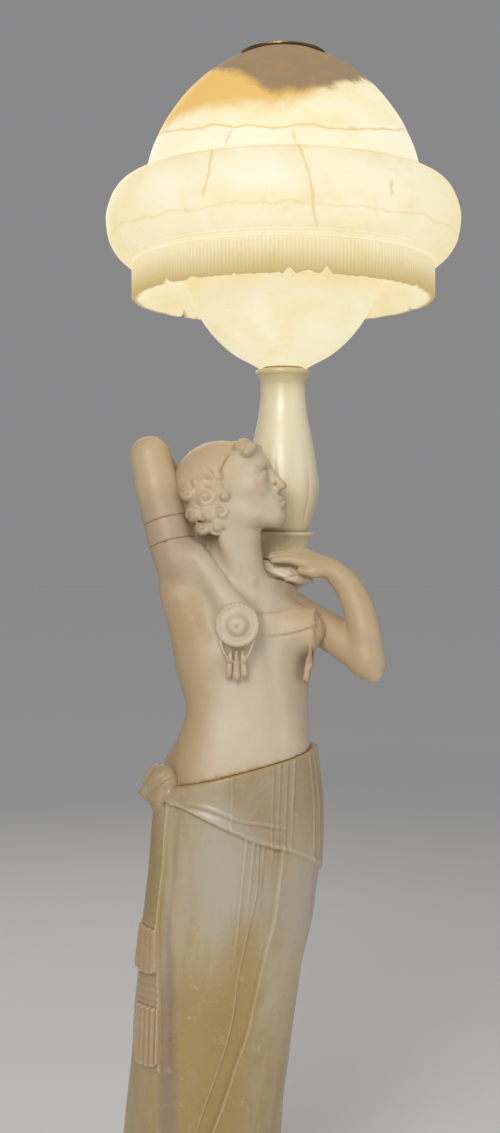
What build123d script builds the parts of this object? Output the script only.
from build123d import *
import os
from math import cos, radians, sin

# Carved alabaster floor lamp. A standing robed figure carries a tall jar on one shoulder, and
# the jar carries a lit globe: a bowl below, a wide band with a fringed skirt, a dome above.
# Millimetres, +Z up. The origin is at floor level on the upright axis shared by jar and globe.
# The figure stands beside that axis, so the round foot is offset from it.

C, LOW = Align.CENTER, Align.MIN
UP = (C, C, LOW)
AXIS = (0, 0)                   # plan position of the jar and globe axis

# ---------------------------------------------------------------- driving dimensions
RUN = 0.05                      # radial clearance of a tube or rod in its nuts and plates
THROUGH = 60                    # a cut of this depth passes through any wall it is made in

FOOT_AT = (-98, -62)            # plan position of the round foot
FELT_T = 3
FOOT_RADIUS = 160
FOOT_TOP = 48
RECESS_RADIUS = 72              # wiring space under the foot
RECESS_TOP = 31
COVER_RADIUS = 78
COVER_T = 2
COVER_SCREW_CIRCLE = 75
COVER_SCREW_RADIUS = 1.55
COVER_SCREW_LENGTH = 15
COVER_HEAD_RADIUS = 2.9
COVER_HEAD_T = 1.6
COVER_SCREWS = (COVER_SCREW_CIRCLE, 3, 30)
INLET_HEIGHT = 17
INLET_BORE = 4
INLET_SLEEVE = 5.8
INLET_FLANGE = 9.5
INLET_LENGTH = 40
PLINTH_RADIUS = 150
PLINTH_TOP = 118

CORE_AT = (-100, -76)           # steel tube that clamps foot, plinth and skirt together
CORE_RADIUS = 8
CORE_BORE = 5
CORE_BOTTOM = 14.5
CORE_TOP = 897
CORE_NUT_AF = 26
CORE_NUT_T = 10
CORE_WASHER_RADIUS = 20
WASHER_T = 3
POCKET_FLOOR = 690              # nut pocket in the top of the skirt
POCKET_RADIUS = 24

WAIST_POINT = (-153, -78, 739)  # the joint between skirt and torso slopes up to the right
WAIST_SLOPE = 12.6

PIPE_RADIUS = 6.5               # threaded lamp pipe, from the shoulder up to the socket cluster
PIPE_BORE = 4.5
PIPE_BOTTOM = 1012
PIPE_TOP = 1442
PIPE_NUT_AF = 22
PIPE_NUT_T = 6
PLATE_T = 2.5
FLEX_RADIUS = 2.8
CHANNEL_RADIUS = 9

CLOTH_TOP = 1057                # the jar stands on a folded cloth on the shoulder
CLOTH_RADIUS = 44
CLOTH_T = 36
COLLAR_TOP = 1096
COLLAR_BORE = 16
JAR_TOP = 1335
JAR_BORE = 12
LIP_RECESS_FLOOR = 1325
LIP_RECESS_RADIUS = 17
NECK_SCREW_HEIGHT = 1309
NECK_SCREW_RADIUS = 3.1

BOWL_BASE = 1338
BOWL_FLOOR = 1350
BOWL_RIM = 1594
BAND_TOP = 1607
BAND_FOOT = 1487
FRINGE_RADIUS = 223
FRINGE_WALL = 12
FRINGE_FOOT = 1437
DOME_TOP = 1796
DOME_HOLE = 48
CAP_RADIUS = 64
CAP_BASE = 1797

HUB_BASE = 1436
HUB_TOP = 1466
HUB_RADIUS = 26
HUB_WALL = 4
NIPPLE_RADIUS = 5               # threaded arms between hub and lampholders
NIPPLE_BORE = 3.4
LEAD_RADIUS = 1.8
ROD_RADIUS = 3
ROD_BOTTOM = 1459
ROD_TOP = 1810
HOLDER_ANGLES = (90, 210, 330)
HOLDER_TILT = 45

# Joints of the figure.
LEFT_SHOULDER = (22, -26, 984)
LEFT_ELBOW = (117, -97, 913)
LEFT_WRIST = (69, -65, 1042)
LEFT_FINGERS = (-22, -68, 1063)
RIGHT_SHOULDER = (-146, -118, 1012)
RIGHT_ELBOW = (-187, -86, 1200)
RIGHT_WRIST = (-116, 10, 1112)
RIGHT_FINGERS = (-38, 50, 1128)
ARMLET_START = 0.36             # shares of the way from right shoulder to right elbow
ARMLET_END = 0.525

# Body sections: height, centre x, centre y, half width, half depth, turn in degrees.
SKIRT_SECTIONS = (
    (PLINTH_TOP, -124, -78, 116, 90, 14),
    (289, -109, -78, 118, 92, 16),
    (431, -94, -78, 123, 94, 18),
    (573, -76, -78, 127, 96, 20),
    (690, -66, -78, 127, 97, 22),
    (760, -62, -78, 118, 92, 24),
    (830, -58, -78, 108, 86, 26),
)
TORSO_SECTIONS = (
    (700, -62, -78, 112, 85, 26),
    (760, -59, -78, 107, 81, 28),
    (800, -57, -77, 101, 73, 30),
    (850, -51, -76, 95, 64, 33),
    (914, -57, -75, 106, 66, 35),
    (960, -62, -75, 108, 66, 36),
    (1005, -64, -74, 92, 56, 36),
    (1035, -62, -74, 60, 42, 36),
)

# The flex, from the terminal block through core tube, torso and pipe to the socket cluster.
BLOCK_FACE = -41
FLEX_ROUTE = (
    (CORE_AT[0], BLOCK_FACE, 9),
    (*CORE_AT, 9),
    (*CORE_AT, 922),
    (*AXIS, 985),
    (*AXIS, HUB_BASE + 12),
)
FLEX_BENDS = (5, 30, 30)


# ---------------------------------------------------------------- shared shapes
def finish(part, name):
    """Label a finished piece and write it as its own node."""
    part.label = name
    export_step(part, f"parts/{name}.step")


def tube(at, base, height, outer, inner):
    """An upright tube, ring or washer."""
    with BuildPart() as made:
        with Locations((*at, base)):
            Cylinder(outer, height, align=UP)
            Cylinder(inner, height, align=UP, mode=Mode.SUBTRACT)
    return made.part


def hex_nuts(at, bases, height, across_flats, bore):
    """Hexagon nuts with chamfered tops, one standing at each height of bases."""
    with BuildPart() as made:
        for base in bases:
            with BuildSketch(Plane.XY.offset(base)):
                with Locations(at):
                    RegularPolygon(across_flats / 2, 6, major_radius=False)
                    Circle(bore, mode=Mode.SUBTRACT)
            extrude(amount=height)
            top = made.faces().filter_by_position(Axis.Z, base + height - 0.01, base + height + 0.01)
            chamfer(top.edges().filter_by(GeomType.LINE), height * 0.12)
    return made.part


def body(sections):
    """A smooth closed body through elliptical sections."""
    with BuildPart() as made:
        for height, x, y, half_width, half_depth, turn in sections:
            with BuildSketch(Plane.XY.offset(height)):
                with Locations((x, y)):
                    Ellipse(half_width, half_depth, rotation=turn)
        loft()
    return made.part


def limb(start, end, r_start, r_middle, r_end):
    """A round-ended limb: a smooth outline turned round the line from start to end."""
    along = Vector(*end) - Vector(*start)
    length = along.length
    frame = Plane(origin=start, z_dir=along)
    section = Plane(origin=start, x_dir=frame.x_dir, z_dir=-frame.y_dir)
    near, far = (r_start, 0), (r_end, length)
    with BuildPart() as made:
        with BuildSketch(section):
            with BuildLine():
                CenterArc((0, 0), r_start, -90, 90)
                Spline(near, (r_middle, length / 2), far)
                CenterArc((0, length), r_end, 0, 90)
                Line((0, length + r_end), (0, -r_start))
            make_face()
        revolve(axis=Axis(start, along))
    return made.part


def rod_between(start, end, radius):
    """A straight round rod from one point to another."""
    along = Vector(*end) - Vector(*start)
    with BuildPart(Plane(origin=start, z_dir=along)) as made:
        Cylinder(radius, along.length, align=UP)
    return made.part


def between(start, end, share):
    """The point a share of the way from start to end."""
    return tuple(Vector(*start) + (Vector(*end) - Vector(*start)) * share)


def turned(outline):
    """A solid turned round the lamp axis. outline() draws its half section, radius by height."""
    with BuildPart() as made:
        with BuildSketch(Plane.XZ):
            with BuildLine():
                outline()
            make_face()
        revolve(axis=Axis.Z)
    return made.part


os.makedirs("parts", exist_ok=True)

# ---------------------------------------------------------------- foot and plinth
finish(tube(FOOT_AT, 0, FELT_T, FOOT_RADIUS - 8, COVER_RADIUS + 4), "felt_pad")

foot_back = FOOT_AT[1] + FOOT_RADIUS
inlet = Plane(origin=(FOOT_AT[0], foot_back, INLET_HEIGHT), z_dir=(0, -1, 0))
with BuildPart() as foot_slab:
    with Locations((*FOOT_AT, FELT_T)):
        Cylinder(FOOT_RADIUS, FOOT_TOP - FELT_T, align=UP)
    fillet(foot_slab.edges().group_by(Axis.Z)[-1], 9)
    chamfer(foot_slab.edges().group_by(Axis.Z)[0], 2)
    with Locations((*FOOT_AT, FELT_T)):
        Cylinder(COVER_RADIUS + 0.3, COVER_T, align=UP, mode=Mode.SUBTRACT)
        Cylinder(RECESS_RADIUS, RECESS_TOP - FELT_T, align=UP, mode=Mode.SUBTRACT)
        with PolarLocations(*COVER_SCREWS):
            Cylinder(COVER_SCREW_RADIUS + RUN, COVER_SCREW_LENGTH + 3, align=UP, mode=Mode.SUBTRACT)
    with Locations((*CORE_AT, FELT_T)):
        Cylinder(CORE_RADIUS + 1, FOOT_TOP, align=UP, mode=Mode.SUBTRACT)
    with Locations(inlet):
        Cylinder(INLET_SLEEVE + 0.2, FOOT_RADIUS - RECESS_RADIUS + 10, align=UP, mode=Mode.SUBTRACT)
        Cylinder(INLET_FLANGE + 0.5, 5, align=UP, mode=Mode.SUBTRACT)
finish(foot_slab.part, "foot_slab")

with BuildPart() as cord_inlet_bush:
    with Locations(inlet.offset(-3)):
        Cylinder(INLET_FLANGE, 8, align=UP)
        Cylinder(INLET_SLEEVE, INLET_LENGTH, align=UP)
        Cylinder(INLET_BORE, INLET_LENGTH, align=UP, mode=Mode.SUBTRACT)
    fillet(cord_inlet_bush.edges().group_by(Axis.Y)[-1], 1)
finish(cord_inlet_bush.part, "cord_inlet_bush")

with BuildPart() as base_cover:
    with Locations((*FOOT_AT, FELT_T)):
        Cylinder(COVER_RADIUS, COVER_T, align=UP)
        with PolarLocations(*COVER_SCREWS):
            Cylinder(COVER_SCREW_RADIUS + 3 * RUN, COVER_T, align=UP, mode=Mode.SUBTRACT)
finish(base_cover.part, "base_cover")

with BuildPart() as cover_screws:
    with Locations((*FOOT_AT, FELT_T - COVER_HEAD_T)):
        with PolarLocations(*COVER_SCREWS):
            Cylinder(COVER_HEAD_RADIUS, COVER_HEAD_T, align=UP)
            Cylinder(COVER_SCREW_RADIUS, COVER_SCREW_LENGTH, align=UP)
finish(cover_screws.part, "cover_screws")

with BuildPart() as plinth:
    with BuildSketch(Plane(origin=(*FOOT_AT, 0), x_dir=(1, 0, 0), z_dir=(0, -1, 0))):
        with BuildLine():
            base_edge = (PLINTH_RADIUS, FOOT_TOP + 16)
            step = (PLINTH_RADIUS - 7, FOOT_TOP + 20)
            hollow = (PLINTH_RADIUS - 13, FOOT_TOP + 36)
            rim = (PLINTH_RADIUS - 3, PLINTH_TOP - 14)
            rim_top = (PLINTH_RADIUS - 3, PLINTH_TOP - 4)
            top_edge = (PLINTH_RADIUS - 7, PLINTH_TOP)
            Polyline((0, PLINTH_TOP), (0, FOOT_TOP), (PLINTH_RADIUS, FOOT_TOP), base_edge, step)
            ThreePointArc(step, hollow, rim)
            Polyline(rim, rim_top, top_edge, (0, PLINTH_TOP))
        make_face()
    revolve(axis=Axis((*FOOT_AT, 0), (0, 0, 1)))
    with Locations((*CORE_AT, FOOT_TOP)):
        Cylinder(CORE_RADIUS + 1, PLINTH_TOP, align=UP, mode=Mode.SUBTRACT)
finish(plinth.part, "plinth")

# ---------------------------------------------------------------- clamping core and wiring
core_bore = CORE_RADIUS + RUN
finish(tube(CORE_AT, CORE_BOTTOM, CORE_TOP - CORE_BOTTOM, CORE_RADIUS, CORE_BORE), "core_tube")
core_clamps = (RECESS_TOP - WASHER_T, POCKET_FLOOR)
core_nut_bases = (core_clamps[0] - CORE_NUT_T, core_clamps[1] + WASHER_T)
with BuildPart() as core_washers:
    for base in core_clamps:
        add(tube(CORE_AT, base, WASHER_T, CORE_WASHER_RADIUS, core_bore))
finish(core_washers.part, "core_washers")
finish(hex_nuts(CORE_AT, core_nut_bases, CORE_NUT_T, CORE_NUT_AF, core_bore), "core_nuts")

BLOCK_SIZE = (30, 22, 24)
TERMINAL_PITCH = 15
TERMINAL_RADIUS = 2.15
block_at = (CORE_AT[0], BLOCK_FACE + BLOCK_SIZE[1] / 2)
block_foot = RECESS_TOP - BLOCK_SIZE[2]
with BuildPart() as terminal_block:
    with Locations((*block_at, block_foot)):
        Box(*BLOCK_SIZE, align=UP)
    fillet(terminal_block.edges().filter_by(Axis.Z), 2)
    with Locations((*block_at, block_foot)):
        with GridLocations(TERMINAL_PITCH, 1, 2, 1):
            Cylinder(TERMINAL_RADIUS + RUN, 6, align=UP, mode=Mode.SUBTRACT)
finish(terminal_block.part, "terminal_block")

with BuildPart() as terminal_screws:
    with Locations((*block_at, block_foot + 1)):
        with GridLocations(TERMINAL_PITCH, 1, 2, 1):
            Cylinder(TERMINAL_RADIUS, 5, align=UP)
finish(terminal_screws.part, "terminal_screws")

with BuildPart() as inner_flex:
    with BuildLine() as route:
        FilletPolyline(*FLEX_ROUTE, radius=FLEX_BENDS)
    with BuildSketch(Plane(origin=FLEX_ROUTE[0], z_dir=(0, -1, 0))):
        Circle(FLEX_RADIUS)
    sweep(path=route.wire())
finish(inner_flex.part, "inner_flex")

# ---------------------------------------------------------------- torso block with head
waist = Plane(origin=WAIST_POINT, z_dir=(-sin(radians(WAIST_SLOPE)), 0, cos(radians(WAIST_SLOPE))))
arm_axis = Vector(*RIGHT_ELBOW) - Vector(*RIGHT_SHOULDER)
armlet_low = Plane(origin=between(RIGHT_SHOULDER, RIGHT_ELBOW, ARMLET_START), z_dir=arm_axis)
armlet_high = Plane(origin=between(RIGHT_SHOULDER, RIGHT_ELBOW, ARMLET_END), z_dir=arm_axis)
armlet_pin = (
    between(RIGHT_SHOULDER, RIGHT_ELBOW, ARMLET_START - 0.16),
    between(RIGHT_SHOULDER, RIGHT_ELBOW, ARMLET_END + 0.16),
)
shoulder_pin = (
    between(LEFT_SHOULDER, LEFT_ELBOW, -0.09),
    between(LEFT_SHOULDER, LEFT_ELBOW, 0.33),
)
PIN_RADIUS = 4

with BuildPart() as wire_channel:
    with Locations((*CORE_AT, POCKET_FLOOR)):
        Cylinder(CORE_RADIUS + 1, CORE_TOP - POCKET_FLOOR, align=UP)
    with Locations((*CORE_AT, CORE_TOP)):
        Cylinder(CHANNEL_RADIUS, FLEX_ROUTE[2][2] - CORE_TOP, align=UP)
    with Locations(FLEX_ROUTE[2], FLEX_ROUTE[3]):
        Sphere(CHANNEL_RADIUS + 0.5)
    add(rod_between(FLEX_ROUTE[2], FLEX_ROUTE[3], CHANNEL_RADIUS))
    with Locations(FLEX_ROUTE[3]):
        Cylinder(CHANNEL_RADIUS, PIPE_BOTTOM - FLEX_ROUTE[3][2], align=UP)
    with Locations((*AXIS, PIPE_BOTTOM)):
        Cylinder(PIPE_RADIUS + 0.1, CLOTH_TOP - PIPE_BOTTOM, align=UP)

upper_arm = limb(RIGHT_SHOULDER, RIGHT_ELBOW, 37, 32, 28)
with BuildPart() as arm_stub:
    add(upper_arm)
    split(bisect_by=armlet_low, keep=Keep.BOTTOM)

with BuildPart() as torso_block:
    add(body(TORSO_SECTIONS))
    add(limb((-60, -76, 1000), (-60, -88, 1100), 42, 30, 30))
    add(limb((-34, -97, 1128), (-84, -94, 1172), 30, 46, 50))
    add(limb((-64, -64, 1000), (2, -14, 1004), 40, 44, 40))
    with Locations((-60, -138, 968), (14, -98, 948)):
        Sphere(38)
    add(arm_stub.part)
    split(bisect_by=waist, keep=Keep.TOP)
    add(wire_channel.part, mode=Mode.SUBTRACT)
    add(rod_between(*armlet_pin, PIN_RADIUS + RUN), mode=Mode.SUBTRACT)
    add(rod_between(*shoulder_pin, PIN_RADIUS + RUN), mode=Mode.SUBTRACT)
finish(torso_block.part, "torso_block")

# ---------------------------------------------------------------- arms
with BuildPart() as armlet:
    add(upper_arm)
    split(bisect_by=armlet_low, keep=Keep.TOP)
    split(bisect_by=armlet_high, keep=Keep.BOTTOM)
    add(rod_between(*armlet_pin, PIN_RADIUS + RUN), mode=Mode.SUBTRACT)
finish(armlet.part, "armlet")

with BuildPart() as right_forearm:
    add(upper_arm)
    split(bisect_by=armlet_high, keep=Keep.TOP)
    add(limb(RIGHT_ELBOW, RIGHT_WRIST, 26, 24, 16))
    add(limb(RIGHT_WRIST, RIGHT_FINGERS, 16, 14, 9))
    add(rod_between(*armlet_pin, PIN_RADIUS + RUN), mode=Mode.SUBTRACT)
finish(right_forearm.part, "right_forearm")

with BuildPart() as left_arm:
    add(limb(LEFT_SHOULDER, LEFT_ELBOW, 33, 31, 27))
    add(limb(LEFT_ELBOW, LEFT_WRIST, 26, 22, 14))
    add(limb(LEFT_WRIST, LEFT_FINGERS, 14, 12, 7))
    add(torso_block.part, mode=Mode.SUBTRACT)
    add(wire_channel.part, mode=Mode.SUBTRACT)
    add(rod_between(*shoulder_pin, PIN_RADIUS + RUN), mode=Mode.SUBTRACT)
finish(left_arm.part, "left_arm")

with BuildPart() as arm_pins:
    add(rod_between(*armlet_pin, PIN_RADIUS))
    add(rod_between(*shoulder_pin, PIN_RADIUS))
finish(arm_pins.part, "arm_pins")

with BuildPart() as shoulder_cloth:
    with Locations((0, -4, CLOTH_TOP)):
        Cylinder(CLOTH_RADIUS, CLOTH_T, align=(C, C, Align.MAX))
    fillet(shoulder_cloth.edges().group_by(Axis.Z)[-1], 5)
    add(torso_block.part, mode=Mode.SUBTRACT)
    add(left_arm.part, mode=Mode.SUBTRACT)
    with Locations((*AXIS, CLOTH_TOP)):
        Cylinder(PIPE_RADIUS + 0.5, 3 * CLOTH_T, mode=Mode.SUBTRACT)
finish(shoulder_cloth.part, "shoulder_cloth")

# ---------------------------------------------------------------- skirt, sash and feet
with BuildPart() as skirt_block:
    add(body(SKIRT_SECTIONS))
    split(bisect_by=waist, keep=Keep.BOTTOM)
    with Locations((*CORE_AT, PLINTH_TOP)):
        Cylinder(CORE_RADIUS + 1, 900, align=UP, mode=Mode.SUBTRACT)
    with Locations((*CORE_AT, POCKET_FLOOR)):
        Cylinder(POCKET_RADIUS, 200, align=UP, mode=Mode.SUBTRACT)
finish(skirt_block.part, "skirt_block")

SASH_TAIL = (                   # centre x, centre y, height, half width
    (-176, -118, 716, 16),
    (-187, -122, 573, 18),
    (-199, -120, 450, 20),
    (-203, -118, 346, 21),
)
SASH_HALF_DEPTH = 13
KNOT_AT = (-178, -112, 736)
KNOT_RADIUS = 28
with BuildPart() as side_sash:
    for x, y, height, half_width in SASH_TAIL:
        with BuildSketch(Plane(origin=(x, y, height), x_dir=(0.8, -0.6, 0), z_dir=(0, 0, 1))):
            Ellipse(half_width, SASH_HALF_DEPTH)
    loft()
    with Locations(KNOT_AT):
        Sphere(KNOT_RADIUS)
    add(skirt_block.part, mode=Mode.SUBTRACT)
    add(torso_block.part, mode=Mode.SUBTRACT)
finish(side_sash.part, "side_sash")

ANKLES = ((-152, -130, -10), (-90, -126, 14))   # x, y, and the turn of the toes
with BuildPart() as feet:
    for x, y, turn in ANKLES:
        ahead = (sin(radians(turn)), -cos(radians(turn)), 0)
        ankle = Vector(x, y, PLINTH_TOP + 4)
        toes = ankle + Vector(*ahead) * 44
        add(limb(tuple(ankle), tuple(toes), 24, 26, 20))
    split(bisect_by=Plane.XY.offset(PLINTH_TOP), keep=Keep.TOP)
    add(skirt_block.part, mode=Mode.SUBTRACT)
finish(feet.part, "feet")


# ---------------------------------------------------------------- jar
def collar_outline():
    top, foot = (46, COLLAR_TOP - 4), (38, CLOTH_TOP)
    Polyline(foot, (COLLAR_BORE, CLOTH_TOP), (COLLAR_BORE, COLLAR_TOP), (43, COLLAR_TOP), top)
    Spline(top, (37.5, COLLAR_TOP - 16), (35.5, COLLAR_TOP - 28), foot)


def jar_outline():
    foot, lip = (36, COLLAR_TOP), (41, JAR_TOP - 6)
    Spline(foot, (46, 1122), (53.5, 1162), (51, 1187), (43.5, 1232), (35.5, 1275), (33, 1308), lip)
    Polyline(
        lip,
        (41, JAR_TOP - 3),
        (38, JAR_TOP),
        (LIP_RECESS_RADIUS, JAR_TOP),
        (LIP_RECESS_RADIUS, LIP_RECESS_FLOOR),
        (JAR_BORE, LIP_RECESS_FLOOR),
        (JAR_BORE, COLLAR_TOP),
        foot,
    )


finish(turned(collar_outline), "jar_collar")

neck_side = Plane(origin=(*AXIS, NECK_SCREW_HEIGHT), z_dir=(-0.17, -1, 0))
with BuildPart() as jar_body:
    add(turned(jar_outline))
    with Locations(neck_side):
        Cylinder(NECK_SCREW_RADIUS + 2 * RUN, THROUGH, align=UP, mode=Mode.SUBTRACT)
finish(jar_body.part, "jar_body")

with BuildPart() as neck_screw:
    with Locations(neck_side.offset(PIPE_RADIUS + RUN)):
        Cylinder(NECK_SCREW_RADIUS, 22, align=UP)
    with Locations(neck_side.offset(PIPE_RADIUS + 20)):
        Box(1.2, 8, 4, align=UP, mode=Mode.SUBTRACT)
finish(neck_screw.part, "neck_screw")

# ---------------------------------------------------------------- lamp pipe and its clamps
pipe_bore = PIPE_RADIUS + RUN
finish(tube(AXIS, PIPE_BOTTOM, PIPE_TOP - PIPE_BOTTOM, PIPE_RADIUS, PIPE_BORE), "lamp_pipe")
with BuildPart() as pipe_washers:
    for base in (CLOTH_TOP, LIP_RECESS_FLOOR):
        add(tube(AXIS, base, PLATE_T, 15, pipe_bore))
finish(pipe_washers.part, "pipe_washers")
nut_bases = (
    CLOTH_TOP + PLATE_T,
    LIP_RECESS_FLOOR + PLATE_T,
    BOWL_FLOOR + 2 * PLATE_T,
    HUB_BASE - PIPE_NUT_T,
)
finish(hex_nuts(AXIS, nut_bases, PIPE_NUT_T, PIPE_NUT_AF, pipe_bore), "pipe_nuts")
finish(tube(AXIS, JAR_TOP, BOWL_BASE - JAR_TOP, 30, LIP_RECESS_RADIUS), "bowl_cork_ring")
finish(tube(AXIS, BOWL_FLOOR, PLATE_T, 26, pipe_bore), "bowl_rubber_washer")
finish(tube(AXIS, BOWL_FLOOR + PLATE_T, PLATE_T, 24, pipe_bore), "bowl_clamp_plate")


# ---------------------------------------------------------------- globe
def bowl_outline():
    outer_rim, inner_rim = (201, BOWL_RIM), (189, BOWL_RIM)
    outer_foot, inner_foot = (34, BOWL_BASE), (34, BOWL_FLOOR)
    Spline(outer_foot, (76, 1361), (114, 1400), (147, 1460), (174, 1520), (194, 1570), outer_rim)
    Line(outer_rim, inner_rim)
    Spline(inner_rim, (182, 1570), (162, 1520), (135, 1463), (105, 1410), (72, 1374), inner_foot)
    Polyline(inner_foot, (pipe_bore, BOWL_FLOOR), (pipe_bore, BOWL_BASE), outer_foot)


def band_outline():
    top, foot = (210, BAND_TOP), (226, BAND_FOOT)
    inner_foot, inner_top = (211, BAND_FOOT), (203, BOWL_RIM)
    Spline(top, (236, 1602), (253, 1582), (260.5, 1553), (257, 1526), (244, 1504), foot)
    Line(foot, inner_foot)
    Spline(inner_foot, (232, 1512), (244, 1532), (247.5, 1553), (240, 1575), (226, 1588), inner_top)
    Polyline(inner_top, (190, BOWL_RIM), (190, BAND_TOP), top)


def dome_outline():
    outer_foot, inner_foot = (203, BAND_TOP), (191, BAND_TOP)
    outer_top = (59, DOME_TOP)
    inner_top = (DOME_HOLE, DOME_TOP - 11)
    Spline(outer_foot, (199, 1635), (180, 1684), (164, 1710), (140, 1740), (101, 1773), outer_top)
    Polyline(outer_top, (DOME_HOLE, DOME_TOP), inner_top)
    Spline(inner_top, (94, 1763), (131, 1731), (154, 1703), (169, 1679), (187, 1632), inner_foot)
    Line(inner_foot, outer_foot)


finish(turned(bowl_outline), "globe_bowl")
finish(turned(band_outline), "globe_band")
fringe = tube(AXIS, FRINGE_FOOT, BAND_FOOT - FRINGE_FOOT, FRINGE_RADIUS, FRINGE_RADIUS - FRINGE_WALL)
finish(fringe, "globe_fringe")
finish(turned(dome_outline), "globe_dome")
finish(tube(AXIS, DOME_TOP, CAP_BASE - DOME_TOP, 57, 50), "cap_felt")


def cap_outline():
    edge, crown = (CAP_RADIUS, CAP_BASE + 2), (14, CAP_BASE + 6)
    bore = ROD_RADIUS + RUN
    under_crown, under_edge = (14, CAP_BASE + 4), (56, CAP_BASE)
    Polyline((bore, crown[1]), (bore, CAP_BASE + 4), under_crown, under_edge, (CAP_RADIUS, CAP_BASE), edge)
    Spline(edge, (42, CAP_BASE + 4.5), crown)
    Line(crown, (bore, crown[1]))


finish(turned(cap_outline), "top_cap")

CAP_NUT_RADIUS = 9
with BuildPart(Plane.XY.offset(CAP_BASE + 6)) as cap_nut:
    Cylinder(CAP_NUT_RADIUS, 9, align=UP)
    fillet(cap_nut.edges().group_by(Axis.Z)[-1], 3)
    with PolarLocations(CAP_NUT_RADIUS + 0.6, 24):
        Cylinder(1, 4.5, align=UP, mode=Mode.SUBTRACT)
    Cylinder(ROD_RADIUS + RUN, 7.4, align=UP, mode=Mode.SUBTRACT)
finish(cap_nut.part, "cap_nut")

# ---------------------------------------------------------------- socket cluster
holder_planes = []
for angle in HOLDER_ANGLES:
    outward = Vector(cos(radians(angle)), sin(radians(angle)), 0)
    lean = radians(HOLDER_TILT)
    axis = outward * sin(lean) + Vector(0, 0, 1) * cos(lean)
    down_out = outward * cos(lean) - Vector(0, 0, 1) * sin(lean)
    centre = (*AXIS, (HUB_BASE + HUB_TOP) / 2)
    holder_planes.append(Plane(origin=centre, x_dir=down_out, z_dir=axis))

with BuildPart() as cluster_hub:
    with Locations((*AXIS, HUB_BASE)):
        Cylinder(HUB_RADIUS, HUB_TOP - HUB_BASE, align=UP)
    chamfer(cluster_hub.edges().group_by(Axis.Z)[-1], 5)
    with Locations((*AXIS, HUB_BASE + HUB_WALL)):
        Cylinder(HUB_RADIUS - HUB_WALL, HUB_TOP - HUB_BASE - 2 * HUB_WALL, align=UP, mode=Mode.SUBTRACT)
    with Locations((*AXIS, HUB_BASE)):
        Cylinder(pipe_bore, HUB_WALL, align=UP, mode=Mode.SUBTRACT)
    with Locations((*AXIS, HUB_TOP)):
        Cylinder(ROD_RADIUS + RUN, HUB_WALL * 3, mode=Mode.SUBTRACT)
    for plane in holder_planes:
        with Locations(plane):
            Cylinder(NIPPLE_RADIUS + RUN, THROUGH, align=UP, mode=Mode.SUBTRACT)
finish(cluster_hub.part, "cluster_hub")

with BuildPart() as socket_nipples:
    for plane in holder_planes:
        with Locations(plane.offset(19)):
            Cylinder(NIPPLE_RADIUS, 30, align=UP)
            Cylinder(NIPPLE_BORE, 30, align=UP, mode=Mode.SUBTRACT)
finish(socket_nipples.part, "socket_nipples")

with BuildPart() as socket_leads:
    for plane in holder_planes:
        with Locations(plane.offset(16)):
            Cylinder(LEAD_RADIUS, 38, align=UP)
finish(socket_leads.part, "socket_leads")

rod = rod_between((*AXIS, ROD_BOTTOM), (*AXIS, ROD_TOP), ROD_RADIUS)
finish(rod, "upper_rod")
finish(hex_nuts(AXIS, [HUB_TOP], 5, 11, ROD_RADIUS + RUN), "rod_nut")

# Along each holder: nipple, metal shell, porcelain insert, bulb cap, bulb glass.
SHELL_START = 40
SHELL_LENGTH = 55
SHELL_RADIUS = 18
INSERT_RADIUS = 16.7
INSERT_START = 52
INSERT_DEPTH = 42
CAP_START = 62
CAP_LENGTH = 24
BULB_CAP_RADIUS = 13.2
KNOB_REACH = 67                 # the switch sits beside this point of the holder axis
KNOB_RADIUS = 6
KNOB_LENGTH = 14
KNOB_STEM_RADIUS = 1.9

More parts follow.
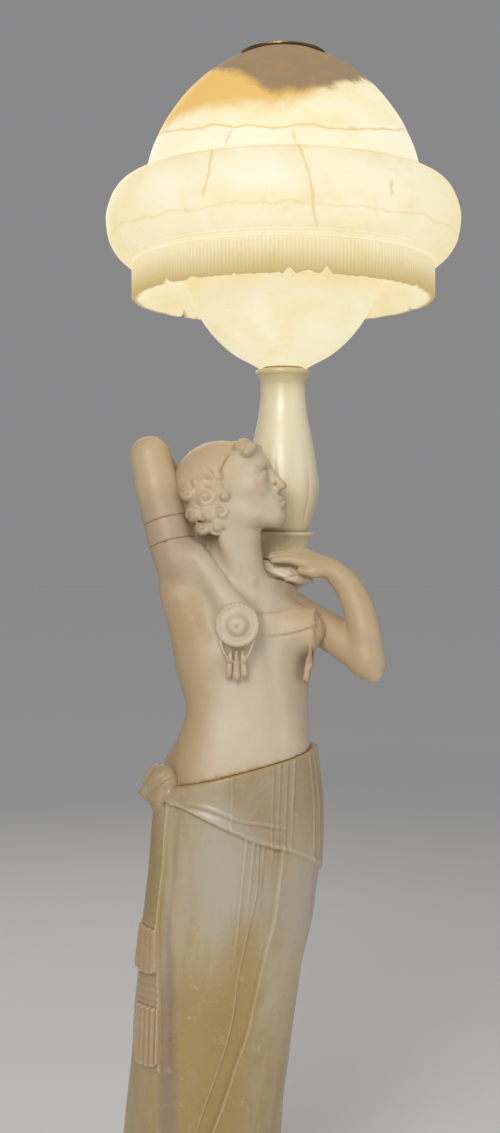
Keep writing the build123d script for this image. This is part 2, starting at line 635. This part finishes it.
for number, plane in enumerate(holder_planes, start=1):
    with BuildPart() as socket_shell:
        with Locations(plane.offset(SHELL_START)):
            Cylinder(SHELL_RADIUS, SHELL_LENGTH, align=UP)
            Cylinder(NIPPLE_RADIUS + RUN, SHELL_LENGTH, align=UP, mode=Mode.SUBTRACT)
        fillet(socket_shell.faces().sort_by(Axis(plane.origin, plane.z_dir))[0].edges(), 4)
        with Locations(plane.offset(SHELL_START + 2)):
            Cylinder(INSERT_RADIUS, THROUGH, align=UP, mode=Mode.SUBTRACT)
        with Locations(plane.offset(KNOB_REACH)):
            Cylinder(KNOB_STEM_RADIUS + 2 * RUN, 30, rotation=(0, 90, 0), align=UP, mode=Mode.SUBTRACT)
    finish(socket_shell.part, f"socket_shell_{number}")

    with BuildPart() as socket_insert:
        with Locations(plane.offset(INSERT_START)):
            Cylinder(INSERT_RADIUS, INSERT_DEPTH, align=UP)
            Cylinder(LEAD_RADIUS + 0.4, INSERT_DEPTH, align=UP, mode=Mode.SUBTRACT)
        with Locations(plane.offset(INSERT_START + 8)):
            Cylinder(BULB_CAP_RADIUS + 0.4, INSERT_DEPTH, align=UP, mode=Mode.SUBTRACT)
    finish(socket_insert.part, f"socket_insert_{number}")

    with BuildPart() as bulb_cap:
        with Locations(plane.offset(CAP_START)):
            Cylinder(BULB_CAP_RADIUS, CAP_LENGTH, align=UP)
        fillet(bulb_cap.faces().sort_by(Axis(plane.origin, plane.z_dir))[0].edges(), 4)
    finish(bulb_cap.part, f"bulb_cap_{number}")

    side = Plane(origin=plane.origin, x_dir=plane.x_dir, z_dir=-plane.y_dir)
    with BuildPart() as bulb_glass:
        with BuildSketch(side):
            with BuildLine():
                base, tip = (12.8, CAP_START + CAP_LENGTH), (0, 170)
                Line((0, CAP_START + CAP_LENGTH), base)
                Spline(base, (13.4, 97), (24, 122), (30, 143), (22, 163), tip)
                Line(tip, (0, CAP_START + CAP_LENGTH))
            make_face()
        revolve(axis=Axis(plane.origin, plane.z_dir))
    finish(bulb_glass.part, f"bulb_glass_{number}")

    knob_plane = Plane(origin=plane.offset(KNOB_REACH).origin, x_dir=plane.y_dir, z_dir=plane.x_dir)
    with BuildPart() as switch_knob:
        with Locations(knob_plane.offset(INSERT_RADIUS + 0.3)):
            Cylinder(KNOB_STEM_RADIUS, 10, align=UP)
        with Locations(knob_plane.offset(26)):
            Cylinder(KNOB_RADIUS, KNOB_LENGTH, align=UP)
            with PolarLocations(KNOB_RADIUS + 0.4, 10):
                Cylinder(0.9, KNOB_LENGTH, align=UP, mode=Mode.SUBTRACT)
    finish(switch_knob.part, f"switch_knob_{number}")
